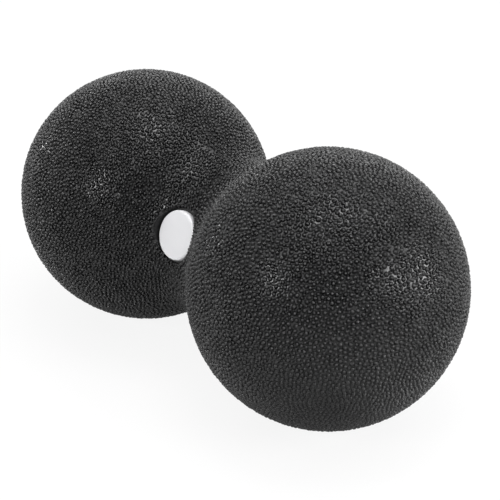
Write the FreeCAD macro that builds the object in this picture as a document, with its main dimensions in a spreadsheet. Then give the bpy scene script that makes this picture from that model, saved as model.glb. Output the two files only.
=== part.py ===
import FreeCAD, Part
import math
import os
import Sketcher

# A peanut massage ball: two equal foam balls moulded as one piece, joined by a concave waist.
# A plain round badge is glued into a shallow recess in the waist.
# The long axis is X, and both balls rest on the plane z = 0 below the middle of the piece.

doc = FreeCAD.newDocument("PeanutMassageBall")

# Driving dimensions, in millimetres and degrees
dimensions = [
    ("BallDiameter", 120, "each of the two balls"),
    ("WaistDiameter", 71.2, "across the narrowest part of the waist"),
    ("WaistBlend", 26, "radius of the hollow curve that joins the balls"),
    ("BadgeTilt", 23, "how far the badge faces up from level, in degrees"),
    ("RecessDiameter", 23.8, "round recess that holds the badge"),
    ("RecessDepth", 3.5, "from the narrowest part of the waist down to the recess floor"),
    ("RecessEdge", 0.6, "rounding of the recess's mouth"),
    ("BadgeGap", 1, "all round, between the badge and the recess wall"),
    ("BadgeThickness", 3, "from the recess floor to the badge's face"),
    ("BadgeEdge", 1.2, "rounding of the badge's front edge"),
]

sheet = doc.addObject("Spreadsheet::Sheet", "Sizes")
for row, (alias, value, meaning) in enumerate(dimensions, start=1):
    sheet.set(f"A{row}", str(value))
    sheet.setAlias(f"A{row}", alias)
    sheet.set(f"B{row}", meaning)
doc.recompute()

# Numbers that a sketch's constraints use for its own axes, and for a curve's points
HORIZONTAL = -1
VERTICAL = -2
START, END, CENTRE = 1, 2, 3

NEAR = 0.001  # lengths this close, in millimetres, count as equal


def size(alias):
    """A driving dimension's number."""
    return float(sheet.get(alias))


def new_body(label):
    body = doc.addObject("PartDesign::Body", label)
    body.Label = label
    return body


def new_sketch(body, name, role):
    """An empty sketch on one of the body's own origin planes."""
    plane = next(p for p in body.Origin.OriginFeatures if p.Role == role)
    sketch = body.newObject("Sketcher::SketchObject", name)
    sketch.AttachmentSupport = [(plane, "")]
    sketch.MapMode = "FlatFace"
    return sketch


def bind(sketch, name, constraint, expression):
    """Adds a named constraint whose value follows the sheet."""
    index = sketch.addConstraint(constraint)
    sketch.renameConstraint(index, name)
    sketch.setExpression(f"Constraints.{name}", expression)


def arc(sketch, x, y, radius, start, end):
    circle = Part.Circle(FreeCAD.Vector(x, y, 0), FreeCAD.Vector(0, 0, 1), radius)
    return sketch.addGeometry(Part.ArcOfCircle(circle, start, end), False)


def draw_half_outline(sketch):
    """Half of the peanut's long section, above its axis: ball, hollow waist, ball."""
    radius = size("BallDiameter") / 2
    blend = size("WaistBlend")
    # The hollow curve touches both balls, which settles how far apart they stand.
    reach = size("WaistDiameter") / 2 + blend
    half_spacing = math.sqrt((radius + blend) ** 2 - reach**2)
    lean = math.atan2(reach, half_spacing)

    right = arc(sketch, half_spacing, 0, radius, 0, math.pi - lean)
    waist = arc(sketch, 0, reach, blend, math.pi + lean, 2 * math.pi - lean)
    left = arc(sketch, -half_spacing, 0, radius, lean, math.pi)
    tip = half_spacing + radius
    axis = sketch.addGeometry(
        Part.LineSegment(FreeCAD.Vector(-tip, 0, 0), FreeCAD.Vector(tip, 0, 0)), False
    )
    crest = sketch.addGeometry(Part.Point(FreeCAD.Vector(0, reach - blend, 0)), True)

    sketch.addConstraint(
        [
            Sketcher.Constraint("Coincident", axis, START, left, END),
            Sketcher.Constraint("Coincident", axis, END, right, START),
            Sketcher.Constraint("Tangent", right, END, waist, END),
            Sketcher.Constraint("Tangent", waist, START, left, START),
            Sketcher.Constraint("Equal", right, left),
            Sketcher.Constraint("PointOnObject", axis, START, HORIZONTAL),
            Sketcher.Constraint("PointOnObject", axis, END, HORIZONTAL),
            Sketcher.Constraint("PointOnObject", right, CENTRE, HORIZONTAL),
            Sketcher.Constraint("Symmetric", left, CENTRE, right, CENTRE, HORIZONTAL, START),
            Sketcher.Constraint("PointOnObject", crest, START, VERTICAL),
            Sketcher.Constraint("PointOnObject", crest, START, waist),
        ]
    )
    ball_size = Sketcher.Constraint("Radius", right, radius)
    bind(sketch, "BallRadius", ball_size, "Sizes.BallDiameter / 2")
    blend_size = Sketcher.Constraint("Radius", waist, blend)
    bind(sketch, "Blend", blend_size, "Sizes.WaistBlend")
    waist_size = Sketcher.Constraint(
        "DistanceY", HORIZONTAL, START, crest, START, reach - blend
    )
    bind(sketch, "WaistRadius", waist_size, "Sizes.WaistDiameter / 2")


def draw_disc(sketch, name, diameter, expression):
    """One circle about the sketch's origin."""
    circle = sketch.addGeometry(
        Part.Circle(FreeCAD.Vector(0, 0, 0), FreeCAD.Vector(0, 0, 1), diameter / 2), False
    )
    sketch.addConstraint(
        Sketcher.Constraint("Coincident", circle, CENTRE, HORIZONTAL, START)
    )
    bind(sketch, name, Sketcher.Constraint("Diameter", circle, diameter), expression)


def recess_mouth(shape):
    """Names of the edges where the recess wall meets the foam's outside."""
    radius = size("RecessDiameter") / 2
    wall = next(
        face
        for face in shape.Faces
        if isinstance(face.Surface, Part.Cylinder)
        and abs(face.Surface.Radius - radius) < NEAR
    )
    up = wall.Surface.Axis
    heights = [edge.CenterOfMass.dot(up) for edge in wall.Edges]
    circles = [isinstance(edge.Curve, Part.Circle) for edge in wall.Edges]
    floor = next(height for height, circle in zip(heights, circles) if circle)
    mouth = []
    for edge in wall.Edges:
        ends = [vertex.Point.dot(up) for vertex in edge.Vertexes]
        if min(abs(end - floor) for end in ends) > NEAR:
            number = next(
                i for i, other in enumerate(shape.Edges, start=1) if other.isSame(edge)
            )
            mouth.append(f"Edge{number}")
    return mouth


# Where the badge sits: the recess floor, square to a line that leans up by BadgeTilt
SEAT_HEIGHT = "(Sizes.WaistDiameter / 2 - Sizes.RecessDepth)"
TILT = "(Sizes.BadgeTilt * 1 deg)"

# Foam body, turned about X
foam = new_body("foam_body")
outline = new_sketch(foam, "PeanutOutline", "XZ_Plane")
draw_half_outline(outline)

peanut = foam.newObject("PartDesign::Revolution", "Peanut")
peanut.Profile = outline
peanut.ReferenceAxis = (outline, ["H_Axis"])
peanut.Angle = 360
doc.recompute()

recess_outline = new_sketch(foam, "RecessOutline", "XZ_Plane")
recess_outline.AttachmentOffset = FreeCAD.Placement(
    FreeCAD.Vector(0, 0, 0), FreeCAD.Rotation(FreeCAD.Vector(1, 0, 0), -size("BadgeTilt"))
)
recess_outline.setExpression("AttachmentOffset.Rotation.Angle", f"-{TILT}")
recess_outline.setExpression("AttachmentOffset.Base.y", f"{SEAT_HEIGHT} * sin({TILT})")
recess_outline.setExpression("AttachmentOffset.Base.z", f"{SEAT_HEIGHT} * cos({TILT})")
draw_disc(recess_outline, "Diameter", size("RecessDiameter"), "Sizes.RecessDiameter")

recess = foam.newObject("PartDesign::Pocket", "Recess")
recess.Profile = recess_outline
recess.Type = "ThroughAll"
recess.Reversed = True
doc.recompute()

mouth = foam.newObject("PartDesign::Fillet", "RecessMouth")
mouth.Base = (recess, recess_mouth(recess.Shape))
mouth.setExpression("Radius", "Sizes.RecessEdge")
foam.Tip = mouth
foam.setExpression("Placement.Base.z", "Sizes.BallDiameter / 2")

# Badge, a blank disc with a rounded front edge, drawn lying flat and then stood on its seat
badge = new_body("badge_disc")
badge_outline = new_sketch(badge, "BadgeOutline", "XY_Plane")
draw_disc(
    badge_outline, "Diameter", size("RecessDiameter") - 2 * size("BadgeGap"),
    "Sizes.RecessDiameter - 2 * Sizes.BadgeGap",
)

disc = badge.newObject("PartDesign::Pad", "Disc")
disc.Profile = badge_outline
disc.setExpression("Length", "Sizes.BadgeThickness")
doc.recompute()

front = max(range(len(disc.Shape.Edges)), key=lambda i: disc.Shape.Edges[i].CenterOfMass.z)
front_edge = badge.newObject("PartDesign::Fillet", "FrontEdge")
front_edge.Base = (disc, [f"Edge{front + 1}"])
front_edge.setExpression("Radius", "Sizes.BadgeEdge")
badge.Tip = front_edge

badge.Placement = FreeCAD.Placement(
    FreeCAD.Vector(0, 0, 0), FreeCAD.Rotation(FreeCAD.Vector(1, 0, 0), 90 - size("BadgeTilt"))
)
badge.setExpression("Placement.Rotation.Angle", f"90 deg - {TILT}")
badge.setExpression("Placement.Base.y", f"-{SEAT_HEIGHT} * cos({TILT})")
badge.setExpression(
    "Placement.Base.z", f"Sizes.BallDiameter / 2 + {SEAT_HEIGHT} * sin({TILT})"
)
doc.recompute()

# Every feature has to be sound before anything is written.
for item in doc.Objects:
    if {"Invalid", "Error"} & set(item.State):
        raise RuntimeError(f"{item.Name} didn't compute: {item.State}")
for body in (foam, badge):
    if body.Shape.isNull() or not body.Shape.isValid() or len(body.Shape.Solids) != 1:
        raise RuntimeError(f"{body.Label} isn't one valid solid")
if recess.Shape.Volume >= peanut.Shape.Volume:
    raise RuntimeError("the recess took nothing from the foam")

os.makedirs("parts", exist_ok=True)
for body in (foam, badge):
    body.Shape.exportStep(f"parts/{body.Label}.step")
    box = body.Shape.BoundBox
    print(
        f"{body.Label}: {box.XLength:.1f} x {box.YLength:.1f} x {box.ZLength:.1f} mm,"
        f" volume {body.Shape.Volume / 1000:.2f} cm3, lowest point {box.ZMin:.2f} mm"
    )
print(f"recess takes {(peanut.Shape.Volume - recess.Shape.Volume) / 1000:.2f} cm3")
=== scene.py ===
import math

import bpy
import numpy as np
from mathutils import Matrix, Vector
from mathutils.geometry import delaunay_2d_cdt


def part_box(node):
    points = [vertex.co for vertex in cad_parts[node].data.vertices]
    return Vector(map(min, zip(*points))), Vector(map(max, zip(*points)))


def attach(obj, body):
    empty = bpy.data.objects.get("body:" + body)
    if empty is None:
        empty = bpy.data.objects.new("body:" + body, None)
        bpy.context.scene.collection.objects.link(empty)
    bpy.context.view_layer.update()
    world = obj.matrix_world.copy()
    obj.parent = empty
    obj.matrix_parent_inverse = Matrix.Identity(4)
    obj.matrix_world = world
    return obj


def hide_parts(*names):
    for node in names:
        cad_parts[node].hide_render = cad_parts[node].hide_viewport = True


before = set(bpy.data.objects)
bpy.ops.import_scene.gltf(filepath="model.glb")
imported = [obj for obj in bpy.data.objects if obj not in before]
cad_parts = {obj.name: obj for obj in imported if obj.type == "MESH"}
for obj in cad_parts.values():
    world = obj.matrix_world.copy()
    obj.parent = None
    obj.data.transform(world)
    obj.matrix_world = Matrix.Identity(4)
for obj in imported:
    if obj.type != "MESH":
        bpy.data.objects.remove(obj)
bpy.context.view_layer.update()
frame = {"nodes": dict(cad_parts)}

mm = 0.001
bpy.ops.object.select_all(action="DESELECT")
print("frame loaded:", ", ".join(frame["nodes"]))


# Small helpers

def hexColour(code):
    # sRGB hex to the linear colour that the shader sockets take
    parts = [int(code[i:i + 2], 16) / 255 for i in (1, 3, 5)]
    linear = [c / 12.92 if c <= 0.04045 else ((c + 0.055) / 1.055) ** 2.4 for c in parts]
    return (*linear, 1.0)


def newMaterial(name):
    material = bpy.data.materials.new(name)
    material.use_nodes = True
    material.node_tree.nodes.clear()
    return material


def addNode(material, kind, settings=None, inputs=None, links=None):
    # one node: settings are its own properties, inputs are values, links are other sockets
    node = material.node_tree.nodes.new(kind)
    for key, value in (settings or {}).items():
        setattr(node, key, value)
    for key, value in (inputs or {}).items():
        node.inputs[key].default_value = value
    for key, socket in (links or {}).items():
        material.node_tree.links.new(socket, node.inputs[key])
    return node


def selectOnly(piece):
    bpy.ops.object.select_all(action="DESELECT")
    piece.select_set(True)
    bpy.context.view_layer.objects.active = piece


# Where the photograph was taken from, worked out from the outlines of the two balls

view = {
    "azimuth": 46.979,           # degrees round from the front, towards +X
    "elevation": 29.378,
    "distance": 579.4 * mm,
    "lens": 92.38,               # on a 36 mm wide sensor
    "aside": -8.43 * mm,         # the object's middle stands this far off the picture's middle
    "above": 5.28 * mm,
}

foamLow, foamHigh = [Vector(corner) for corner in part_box("foam_body")]
middle = (foamLow + foamHigh) / 2

turn, rise = math.radians(view["azimuth"]), math.radians(view["elevation"])
backward = Vector((math.sin(turn) * math.cos(rise), -math.cos(turn) * math.cos(rise), math.sin(rise)))
rightward = Vector((math.cos(turn), math.sin(turn), 0))
upward = backward.cross(rightward)

cameraData = bpy.data.cameras.new("camera")
cameraData.lens = view["lens"]
cameraData.sensor_width = 36
camera = bpy.data.objects.new("camera", cameraData)
camera.location = (
    middle + backward * view["distance"] - rightward * view["aside"] - upward * view["above"]
)
camera.rotation_euler = (math.pi / 2 - rise, 0, turn)
bpy.context.scene.collection.objects.link(camera)
bpy.context.scene.camera = camera
bpy.context.scene.view_settings.view_transform = "Standard"
print("camera placed")


# Foam body: beads of polypropylene foam steamed together in a mould with a pebbled wall

foam = {
    "waistRadius": 35.6 * mm,
    "pebbleSpacing": 2.1 * mm,
    "pebbleHeight": 0.85 * mm,   # from the ground between the pebbles to the crown
    "heightSpread": 0.3,         # how unlike each other the pebbles are
    "profile": [(0.55, 0.85), (1.0, 0.0)],    # shares of a pebble's radius and height
    "fullness": 0.9,             # how far the pebbles fill the room that they have
    "footReach": 0.88,           # how far a foot may go towards the corner between three pebbles
    "shake": 0.45,               # of the spacing
    "evenings": 6,               # times that the pebbles push each other apart
    "evening": 0.3,              # how hard they push
    "wanted": 1.2,               # of the spacing, the gap below which two pebbles push apart
    "seed": 11,
    "areaSteps": 20000,          # of the table that spreads the pebbles evenly
    "mapSteps": 200000,          # of the table that lays the surface flat
    "rightSofter": 0.12,         # how much less the fine grain stands out on the right ball
    "paintedShadeDepth": 0.7,                 # painted shade on that ball's lower front: grain calmed and shine lowered there
    "paintedShadeTurn": math.radians(45),      # round from the front, towards +X
    "paintedShadeRise": math.radians(-22),
    "paintedShadeSpread": math.radians(26),
}

recess = {
    "tilt": math.radians(23),
    "floor": 32.1 * mm,          # from the long axis
    "radius": 11.9 * mm,
    "easing": 0.6 * mm,          # rounding of the mouth
    "leastWall": 0.1 * mm,       # what the rounding leaves of the wall, at its lowest
    "ringed": 0.43,              # spacings from the ring round the mouth that draw a pebble to it
    "cleared": 0.25,             # spacings outside the mouth where a pebble is still left out
    "sides": 144,
}

ballRadius = (foamHigh.z - foamLow.z) / 2
halfSpacing = (foamHigh.x - foamLow.x) / 2 - ballRadius
blend = (halfSpacing ** 2 + foam["waistRadius"] ** 2 - ballRadius ** 2) / (
    2 * (ballRadius - foam["waistRadius"])
)
reach = foam["waistRadius"] + blend         # height of the hollow curve's centre over the axis
lean = math.atan2(reach, halfSpacing)
ballArc = ballRadius * (math.pi - lean)
waistTurn = math.pi / 2 - lean              # half the hollow curve's angle
fullArc = 2 * ballArc + 2 * blend * waistTurn
badgeOut = Vector((0, -math.cos(recess["tilt"]), math.sin(recess["tilt"])))


def outline(along):
    # place along the axis, radius and outward normal, for lengths measured along the outline
    onLeft, onRight = along < ballArc, along > fullArc - ballArc
    fromTip = np.where(onRight, fullArc - along, along) / ballRadius
    side = np.where(onRight, 1.0, -1.0)
    turned = (along - ballArc) / blend - waistTurn
    onBall = onLeft | onRight
    x = np.where(onBall, side * (halfSpacing + ballRadius * np.cos(fromTip)), blend * np.sin(turned))
    r = np.where(onBall, ballRadius * np.sin(fromTip), reach - blend * np.cos(turned))
    nx = np.where(onBall, side * np.cos(fromTip), -np.sin(turned))
    nr = np.where(onBall, np.sin(fromTip), np.cos(turned))
    return x, r, nx, nr


def onSurface(along, around):
    # points and normals on the smooth peanut
    x, r, nx, nr = outline(along)
    c, s = np.cos(around), np.sin(around)
    points = np.stack([x, r * c, r * s], 1)
    normals = np.stack([nx, nr * c, nr * s], 1)
    return points, normals


def rolledOut(along):
    # how far along a flat map each place comes, when the map keeps small circles round
    s = np.linspace(0.01 * mm, fullArc - 0.01 * mm, foam["mapSteps"] + 1)
    r = outline(s)[1]
    steps = np.diff(s) * (1 / r[1:] + 1 / r[:-1]) / 2
    table = np.concatenate([[0], np.cumsum(steps)])
    return np.interp(along, s, table - table[len(table) // 2])


def neighbours(along, around):
    # triangles between neighbouring pebbles; the last pebble sits on the far tip
    flat = np.exp(-rolledOut(along[:-1]))
    spots = [Vector(p) for p in zip(flat * np.cos(around[:-1]), flat * np.sin(around[:-1]))]
    triangles = np.array(delaunay_2d_cdt(spots, [], [], 0, 1e-9)[2])
    starts = triangles.ravel()
    ends = triangles[:, [1, 2, 0]].ravel()
    pairs = set(zip(starts.tolist(), ends.tolist()))
    rim = [(a, b) for a, b in pairs if (b, a) not in pairs]
    cap = [(b, a, len(along) - 1) for a, b in rim]
    return np.concatenate([triangles, np.array(cap)])


def lengthAlong(points):
    # the nearest place on the outline, for points close to the surface
    x, r = points[:, 0], np.hypot(points[:, 1], points[:, 2])
    turned = np.arctan2(x, reach - r)
    fromTip = ballRadius * np.arctan2(r, np.abs(x) - halfSpacing)
    onBall = np.where(x > 0, fullArc - fromTip, fromTip)
    return np.where(np.abs(turned) > waistTurn, onBall, ballArc + blend * (turned + waistTurn))


def overRecess(places):
    # height above the long axis and distance from the middle of the recess
    height = places @ np.array(badgeOut)
    return height, np.linalg.norm(places - height[:, None] * np.array(badgeOut), axis=1)


def ontoCircle(places, which, radius):
    # moves some of the places straight out or in, to a circle about the recess
    height, away = overRecess(places[which])
    seat = height[:, None] * np.array(badgeOut)
    places[which] = seat + (places[which] - seat) * (radius / away)[:, None]


def ringRecess(places):
    # pebbles that would straddle the mouth stand in a ring round it
    height, away = overRecess(places)
    ring = recess["radius"] + foam["pebbleSpacing"] / 2
    near = (height > 0) & (abs(away - ring) < recess["ringed"] * foam["pebbleSpacing"])
    ontoCircle(places, near, ring)


def layPebbles():
    # an even spiral, shaken until no rows are left, and then evened out
    rng = np.random.default_rng(foam["seed"])
    s = np.linspace(0, fullArc, foam["areaSteps"] + 1)
    r = outline(s)[1]
    area = np.concatenate([[0], np.cumsum((r[1:] + r[:-1]) * math.pi * np.diff(s))])
    count = int(area[-1] / (foam["pebbleSpacing"] ** 2 * math.sqrt(3) / 2))
    share = (np.arange(count) + 0.5) / count
    along = np.append(np.interp(share * area[-1], area, s), 0.0)
    around = np.arange(count + 1) * math.pi * (3 - math.sqrt(5))
    points = onSurface(along, around)[0]
    points[:-1] += rng.normal(0, foam["shake"] * foam["pebbleSpacing"], (count, 3))
    ringRecess(points)
    along, around = lengthAlong(points), np.arctan2(points[:, 2], points[:, 1])
    triangles = neighbours(along, around)
    for _ in range(foam["evenings"]):
        points = onSurface(along, around)[0]
        a, b = triangles.ravel(), triangles[:, [1, 2, 0]].ravel()
        apart = points[a] - points[b]
        gap = np.linalg.norm(apart, axis=1)
        short = np.maximum(foam["wanted"] * foam["pebbleSpacing"] - gap, 0) / gap
        for axis in range(3):
            push = np.bincount(a, apart[:, axis] * short, count + 1)
            points[:-1, axis] += foam["evening"] * push[:-1]
        ringRecess(points)
        along, around = lengthAlong(points), np.arctan2(points[:, 2], points[:, 1])
        triangles = neighbours(along, around)
    return along, around, triangles, rng


def grainUnderPaintedShade(tops, normals):
    # how much of the fine grain is left on each pebble: less on the right ball, and less again on its
    # lower front, where painted shade calms the grain and lowers the shine
    onRight = np.clip(0.5 + tops[:, 0] / (2 * halfSpacing), 0, 1)
    turn, rise = foam["paintedShadeTurn"], foam["paintedShadeRise"]
    toward = [math.sin(turn) * math.cos(rise), -math.cos(turn) * math.cos(rise), math.sin(rise)]
    angle = np.arccos(np.clip(normals @ np.array(toward), -1, 1))
    paintedShade = foam["paintedShadeDepth"] * np.exp(-0.5 * (angle / foam["paintedShadeSpread"]) ** 2)
    return (1 - foam["rightSofter"] * onRight) * (1 - paintedShade * onRight)


def makeFoam():
    along, around, triangles, rng = layPebbles()
    tops, normals = onSurface(along, around)
    count = len(tops)
    share = 1 - foam["heightSpread"] * rng.random(count)
    high = foam["pebbleHeight"] * share
    # grain: a random share for each pebble, less on the right ball, and painted shade on that ball's
    # lower front
    grain = share * grainUnderPaintedShade(tops, normals)
    corners = tops[triangles].mean(1) - normals[triangles].mean(1) * foam["pebbleHeight"]
    feet = tops - normals * foam["pebbleHeight"]
    crowns = feet + normals * high[:, None]

    # pebble a has a sector towards each neighbour b, between two corners that they share
    a = triangles.ravel()
    b = triangles[:, [1, 2, 0]].ravel()
    gap = np.linalg.norm(tops[a] - tops[b], axis=1) / 2
    nearest = np.full(count, foam["pebbleSpacing"])
    np.minimum.at(nearest, a, gap)
    usual = np.bincount(a, gap, count) / np.bincount(a, minlength=count)
    pebbleRadius = foam["fullness"] * usual + (1 - foam["fullness"]) * nearest
    twin = np.empty(len(a), int)
    twin[np.argsort(a * count + b)] = np.argsort(b * count + a)
    cornerOne = np.arange(len(a)) // 3
    cornerTwo = twin // 3
    spotOne = np.arange(len(a))
    spotTwo = cornerTwo * 3 + (twin + 1) % 3

    # rings of points round each pebble, one point towards each of its corners
    reachOut = corners[cornerOne] - feet[a]
    length = np.linalg.norm(reachOut, axis=1)
    foot = np.minimum(pebbleRadius[a], foam["footReach"] * length)
    points = [crowns, corners]
    for width, level in foam["profile"]:
        ring = feet[a] + reachOut * (foot * width / length)[:, None]
        points.append(ring + normals[a] * (high[a] * level)[:, None])
    points = np.concatenate(points)
    rings = [count + len(corners) + i * len(a) for i in range(len(foam["profile"]))]
    faces = [np.stack([a, rings[0] + spotTwo, rings[0] + spotOne], 1)]
    for inner, outer in zip(rings, rings[1:]):
        faces.append(np.stack([inner + spotTwo, outer + spotTwo, outer + spotOne], 1))
        faces.append(np.stack([inner + spotTwo, outer + spotOne, inner + spotOne], 1))
    last = rings[-1]
    faces.append(np.stack([last + spotTwo, count + cornerTwo, count + cornerOne], 1))
    faces.append(np.stack([last + spotTwo, count + cornerOne, last + spotOne], 1))
    pebble = np.tile(a, len(faces))
    faces = np.concatenate(faces)
    first = points[faces[0]]
    if np.dot(np.cross(first[1] - first[0], first[2] - first[0]), normals[faces[0][0]]) < 0:
        faces = faces[:, [0, 2, 1]]

    # no pebbles where the recess opens, and those round it bend over its rounded mouth
    height, away = overRecess(tops)
    clear = recess["radius"] + recess["cleared"] * foam["pebbleSpacing"]
    opened = (height > 0) & (away < clear)
    kept = ~opened[pebble]
    brink = np.intersect1d(faces[kept], faces[~kept])
    faces, pebble = faces[kept], pebble[kept]
    height, away = overRecess(points)
    inside = (height > 0) & (away < recess["radius"])
    inside[brink] = True
    ontoCircle(points, inside, recess["radius"])
    height, away = overRecess(points)
    bent = (height > 0) & (away < recess["radius"] + recess["easing"])
    inward = 1 - (away[bent] - recess["radius"]) / recess["easing"]
    drop = recess["easing"] * (1 - np.sqrt(np.clip(1 - inward ** 2, 0, 1)))
    room = np.maximum(height[bent] - recess["floor"] - recess["leastWall"], 0)
    points[bent] -= np.minimum(drop, room)[:, None] * np.array(badgeOut)

    # every corner knows where it lies on its own pebble, in shares of the pebble's radius, and
    # how far the grain stands out there
    x, r, nx, nr = outline(along)
    c, s = np.cos(around), np.sin(around)
    onward = np.stack([nr, -nx * c, -nx * s], 1)[pebble][:, None]
    aside = np.stack([0 * c, -s, c], 1)[pebble][:, None]
    place = points[faces] - feet[pebble][:, None]
    scale = 1 / pebbleRadius[pebble][:, None]
    across = (place * onward).sum(2) * scale
    down = (place * aside).sum(2) * scale
    onPebble = np.stack([across, down, np.repeat(grain[pebble][:, None], 3, 1)], 2)

    used = np.unique(faces)
    number = np.full(len(points), -1)
    number[used] = np.arange(len(used))
    points, faces = points[used], number[faces]
    points[:, 2] += middle.z
    mesh = bpy.data.meshes.new("pebbledFoam")
    mesh.from_pydata(points.tolist(), [], faces.tolist())
    mesh.shade_smooth()
    # a crease where each pebble rises from the flat ground
    edges = np.empty(2 * len(mesh.edges), int)
    mesh.edges.foreach_get("vertices", edges)
    crease = (used[edges.reshape(-1, 2)] >= last).all(1)
    mesh.attributes.new("sharp_edge", "BOOLEAN", "EDGE").data.foreach_set("value", crease)
    mesh.attributes.new("onPebble", "FLOAT_VECTOR", "CORNER").data.foreach_set(
        "vector", onPebble.astype(np.float32).ravel()
    )
    piece = bpy.data.objects.new("pebbledFoam", mesh)
    bpy.context.scene.collection.objects.link(piece)
    print("foam laid out:", count, "pebbles,", len(faces), "triangles")
    return piece


def makeRecess():
    # the flat floor; its wall is bridged to the pebbled skin
    bpy.ops.object.select_all(action="DESELECT")
    bpy.ops.mesh.primitive_circle_add(
        vertices=recess["sides"], radius=recess["radius"], fill_type="NGON",
        location=middle + badgeOut * recess["floor"],
        rotation=(math.pi / 2 - recess["tilt"], 0, 0),
    )
    piece = bpy.context.active_object
    piece.name = "recess"
    bpy.ops.object.transform_apply(location=True, rotation=True, scale=True)
    return piece


def joinRecess(piece, hollow):
    # the recess's open edge is bridged to the hole in the pebbled skin
    bpy.ops.object.select_all(action="DESELECT")
    hollow.select_set(True)
    piece.select_set(True)
    bpy.context.view_layer.objects.active = piece
    bpy.ops.object.join()
    bpy.ops.object.mode_set(mode="EDIT")
    bpy.ops.mesh.select_mode(type="EDGE")
    bpy.ops.mesh.select_all(action="DESELECT")
    bpy.ops.mesh.select_non_manifold()
    bpy.ops.mesh.bridge_edge_loops()
    bpy.ops.mesh.select_mode(type="FACE")
    bpy.ops.mesh.select_all(action="SELECT")
    bpy.ops.mesh.normals_make_consistent(inside=False)
    bpy.ops.mesh.select_all(action="DESELECT")
    bpy.ops.object.mode_set(mode="OBJECT")
    # only the floor, which is one face, stays flat
    for face in piece.data.polygons:
        face.use_smooth = len(face.vertices) < recess["sides"]
    print("recess joined:", len(piece.data.polygons), "faces")


pebbledFoam = makeFoam()


# Badge: a blank disc of white ABS, moulded smooth

badge = {
    "radius": 10.9 * mm,
    "thickness": 3.0 * mm,
    "edge": 1.2 * mm,
    "edgeSteps": 6,
    "sides": 96,
}


def makeBadge():
    bpy.ops.object.select_all(action="DESELECT")
    centre = middle + badgeOut * (recess["floor"] + badge["thickness"] / 2)
    bpy.ops.mesh.primitive_cylinder_add(
        vertices=badge["sides"], radius=badge["radius"], depth=badge["thickness"],
        location=centre, rotation=(math.pi / 2 - recess["tilt"], 0, 0),
    )
    piece = bpy.context.active_object
    piece.name = "badge"
    bpy.ops.object.transform_apply(location=True, rotation=True, scale=True)
    bpy.ops.object.mode_set(mode="EDIT")
    bpy.ops.mesh.select_all(action="DESELECT")
    bpy.ops.object.mode_set(mode="OBJECT")
    for face in piece.data.polygons:
        face.select = face.normal.dot(badgeOut) > 0.9
    bpy.ops.object.mode_set(mode="EDIT")
    bpy.ops.mesh.select_mode(type="FACE")
    bpy.ops.mesh.bevel(offset=badge["edge"], segments=badge["edgeSteps"], affect="EDGES")
    bpy.ops.mesh.select_all(action="DESELECT")
    bpy.ops.object.mode_set(mode="OBJECT")
    bpy.ops.object.shade_smooth_by_angle(angle=math.radians(40))
    print("badge made")
    return piece


whiteBadge = makeBadge()


# Materials

def pebbledFoamMaterial():
    # expanded polypropylene steamed against a pebbled mould wall: a dense black skin that shines
    # softly, with round crowns standing out of a smooth ground; painted shade makes it duller and
    # calmer on the right ball's lower front
    material = newMaterial("expandedPolypropylenePebbled")
    place = addNode(material, "ShaderNodeAttribute", {"attribute_name": "onPebble"})
    split = addNode(material, "ShaderNodeSeparateXYZ", links={0: place.outputs["Vector"]})
    flat = addNode(
        material, "ShaderNodeCombineXYZ", links={0: split.outputs[0], 1: split.outputs[1]}
    )
    away = addNode(
        material, "ShaderNodeVectorMath", {"operation": "DOT_PRODUCT"},
        links={0: flat.outputs[0], 1: flat.outputs[0]},
    )
    crown = addNode(
        material, "ShaderNodeMath", {"operation": "SUBTRACT", "use_clamp": True},
        inputs={0: 1.0}, links={1: away.outputs["Value"]},
    )
    where = addNode(material, "ShaderNodeTexCoord")
    grain = addNode(
        material, "ShaderNodeTexNoise", inputs={"Scale": 1 / (0.55 * mm), "Detail": 1.0},
        links={"Vector": where.outputs["Object"]},
    )
    uneven = addNode(
        material, "ShaderNodeMath", {"operation": "MULTIPLY_ADD"},
        inputs={1: 1.8, 2: 1.4}, links={0: grain.outputs[0]},
    )
    dome = addNode(
        material, "ShaderNodeMath", {"operation": "MULTIPLY"},
        links={0: crown.outputs[0], 1: uneven.outputs[0]},
    )
    rolling = addNode(
        material, "ShaderNodeTexNoise", inputs={"Scale": 1 / (2.0 * mm), "Detail": 1.0},
        links={"Vector": where.outputs["Object"]},
    )
    skin = addNode(
        material, "ShaderNodeMath", {"operation": "MULTIPLY_ADD"},
        inputs={1: 1.0}, links={0: rolling.outputs[0], 2: dome.outputs[0]},
    )
    relief = addNode(
        material, "ShaderNodeMath", {"operation": "MULTIPLY"},
        links={0: skin.outputs[0], 1: split.outputs[2]},
    )
    bump = addNode(
        material, "ShaderNodeBump", inputs={"Strength": 1.0, "Distance": 0.35 * mm},
        links={"Height": relief.outputs[0]},
    )
    # roughness and shine follow the grain: they vary at random from pebble to pebble, and painted
    # shade makes the right ball's lower front rougher and less shiny
    dull = addNode(
        material, "ShaderNodeMapRange", inputs={1: 0.2, 2: 0.8, 3: 0.5, 4: 0.24},
        links={0: split.outputs[2]},
    )
    shine = addNode(
        material, "ShaderNodeMapRange", inputs={1: 0.2, 2: 0.8, 3: 0.28, 4: 0.5},
        links={0: split.outputs[2]},
    )
    shader = addNode(
        material, "ShaderNodeBsdfPrincipled",
        inputs={"Base Color": hexColour("#0b0b0c"), "IOR": 1.49},
        links={
            "Roughness": dull.outputs[0], "Specular IOR Level": shine.outputs[0],
            "Normal": bump.outputs[0],
        },
    )
    addNode(material, "ShaderNodeOutputMaterial", links={"Surface": shader.outputs[0]})
    return material


def whiteBadgeMaterial():
    # injection-moulded ABS: opaque white with a soft shine
    material = newMaterial("mouldedAbsWhite")
    shader = addNode(
        material, "ShaderNodeBsdfPrincipled",
        inputs={"Base Color": hexColour("#d1d1d3"), "Roughness": 0.35, "IOR": 1.53},
    )
    addNode(material, "ShaderNodeOutputMaterial", links={"Surface": shader.outputs[0]})
    return material


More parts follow.
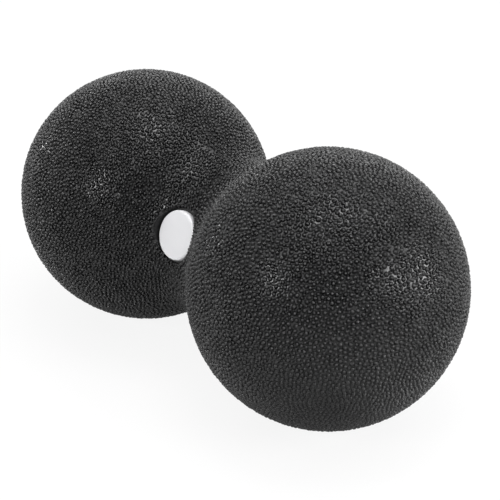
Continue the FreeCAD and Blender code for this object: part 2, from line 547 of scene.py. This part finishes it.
def smoothFoamMaterial():
    # the same foam where the mould is plain: a closed skin, a little duller than the pebbled one
    material = newMaterial("expandedPolypropyleneSmooth")
    place = addNode(material, "ShaderNodeTexCoord")
    grain = addNode(
        material, "ShaderNodeTexNoise", inputs={"Scale": 1 / (0.5 * mm), "Detail": 2.0},
        links={"Vector": place.outputs["Object"]},
    )
    bump = addNode(
        material, "ShaderNodeBump", inputs={"Strength": 1.0, "Distance": 0.02 * mm},
        links={"Height": grain.outputs[0]},
    )
    shader = addNode(
        material, "ShaderNodeBsdfPrincipled",
        inputs={"Base Color": hexColour("#0b0b0c"), "Roughness": 0.4, "IOR": 1.49},
        links={"Normal": bump.outputs[0]},
    )
    addNode(material, "ShaderNodeOutputMaterial", links={"Surface": shader.outputs[0]})
    return material


pebbledFoam.data.materials.append(pebbledFoamMaterial())
hollow = makeRecess()
hollow.data.materials.append(smoothFoamMaterial())
joinRecess(pebbledFoam, hollow)
whiteBadge.data.materials.append(whiteBadgeMaterial())
print("materials made")


# Studio: a white paper floor, round softboxes at both sides of the camera and overhead, and
# broad ones behind that give the edges their light

studio = {
    "floorSize": 8.0,
    "floorShade": "#e8e8e8",
    "floorSeen": 0.88,           # how white the camera sees the floor, over its own shade
    "floorMirrored": 0.3,        # and how white it stands in a shine
    "worldLevel": 0.1,
    "lampDistance": 1.3,
    # each softbox: how far right, up and towards the camera it stands, its width and its power
    "softboxes": {
        "leftKey": [(-0.65, 0.13, 0.75), 0.4, 6.3],
        "rightKey": [(0.76, 0.13, 0.64), 0.55, 7.6],
        "topKey": [(0.08, 0.87, 0.49), 0.6, 5.2],
        "upperRightFill": [(0.6, 0.7, 0.4), 0.6, 2.0],
        "rightFill": [(0.98, 0.1, 0.2), 0.6, 10.0],
        "ceiling": [(0.0, 0.871, 0.49), 2.2, 21.0],
        "backFill": [(0.0, 0.45, -0.9), 1.4, 10.5],
        "leftRim": [(-0.8, 0.25, -0.55), 0.5, 8.5],
        "backWall": [(0.0, 0.25, -0.97), 2.0, 6.0],
    },
}


def seenOrMirrored(material, seen=1.0, mirrored=1.0):
    # how white the background is made where the camera sees it straight, and in a shine or glass
    path = addNode(material, "ShaderNodeLightPath")
    other = addNode(
        material, "ShaderNodeMath", {"operation": "MAXIMUM"},
        links={0: path.outputs["Is Glossy Ray"], 1: path.outputs["Is Transmission Ray"]},
    )
    share = addNode(
        material, "ShaderNodeMath", {"operation": "MULTIPLY"},
        inputs={1: mirrored}, links={0: other.outputs[0]},
    )
    both = addNode(
        material, "ShaderNodeMath", {"operation": "MULTIPLY_ADD"},
        inputs={1: seen}, links={0: path.outputs["Is Camera Ray"], 2: share.outputs[0]},
    )
    return both.outputs[0]


def makeFloor():
    bpy.ops.object.select_all(action="DESELECT")
    bpy.ops.mesh.primitive_plane_add(size=studio["floorSize"])
    floor = bpy.context.active_object
    floor.name = "floor"
    material = newMaterial("whitePaperFloor")
    paper = addNode(
        material, "ShaderNodeBsdfDiffuse", inputs={"Color": hexColour(studio["floorShade"])}
    )
    glow = addNode(
        material, "ShaderNodeEmission", inputs={"Color": (1, 1, 1, 1), "Strength": 1.0}
    )
    share = seenOrMirrored(material, studio["floorSeen"], studio["floorMirrored"])
    shown = addNode(
        material, "ShaderNodeMixShader",
        links={0: share, 1: paper.outputs[0], 2: glow.outputs[0]},
    )
    addNode(material, "ShaderNodeOutputMaterial", links={"Surface": shown.outputs[0]})
    floor.data.materials.append(material)
    return floor


def makeWorld():
    world = bpy.data.worlds.new("studio")
    world.use_nodes = True
    world.node_tree.nodes.clear()
    walls = addNode(
        world, "ShaderNodeBackground",
        inputs={"Color": (1, 1, 1, 1), "Strength": studio["worldLevel"]},
    )
    paper = addNode(world, "ShaderNodeBackground", inputs={"Color": (1, 1, 1, 1), "Strength": 1})
    shown = addNode(
        world, "ShaderNodeMixShader",
        links={0: seenOrMirrored(world), 1: walls.outputs[0], 2: paper.outputs[0]},
    )
    addNode(world, "ShaderNodeOutputWorld", links={"Surface": shown.outputs[0]})
    bpy.context.scene.world = world


def makeSoftbox(name, place, width, power):
    across, over, near = place
    toward = (rightward * across + upward * over + backward * near).normalized()
    lamp = bpy.data.lights.new(name, "AREA")
    lamp.shape = "DISK"
    lamp.size = width
    lamp.energy = power
    softbox = bpy.data.objects.new(name, lamp)
    softbox.location = middle + toward * studio["lampDistance"]
    softbox.rotation_euler = toward.to_track_quat("Z", "Y").to_euler()
    bpy.context.scene.collection.objects.link(softbox)


floor = makeFloor()
makeWorld()
for name, (place, width, power) in studio["softboxes"].items():
    makeSoftbox(name, place, width, power)
print("studio lit")


# Tie the pieces to the frame

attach(pebbledFoam, "root")
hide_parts("foam_body")
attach(whiteBadge, "root")
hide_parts("badge_disc")
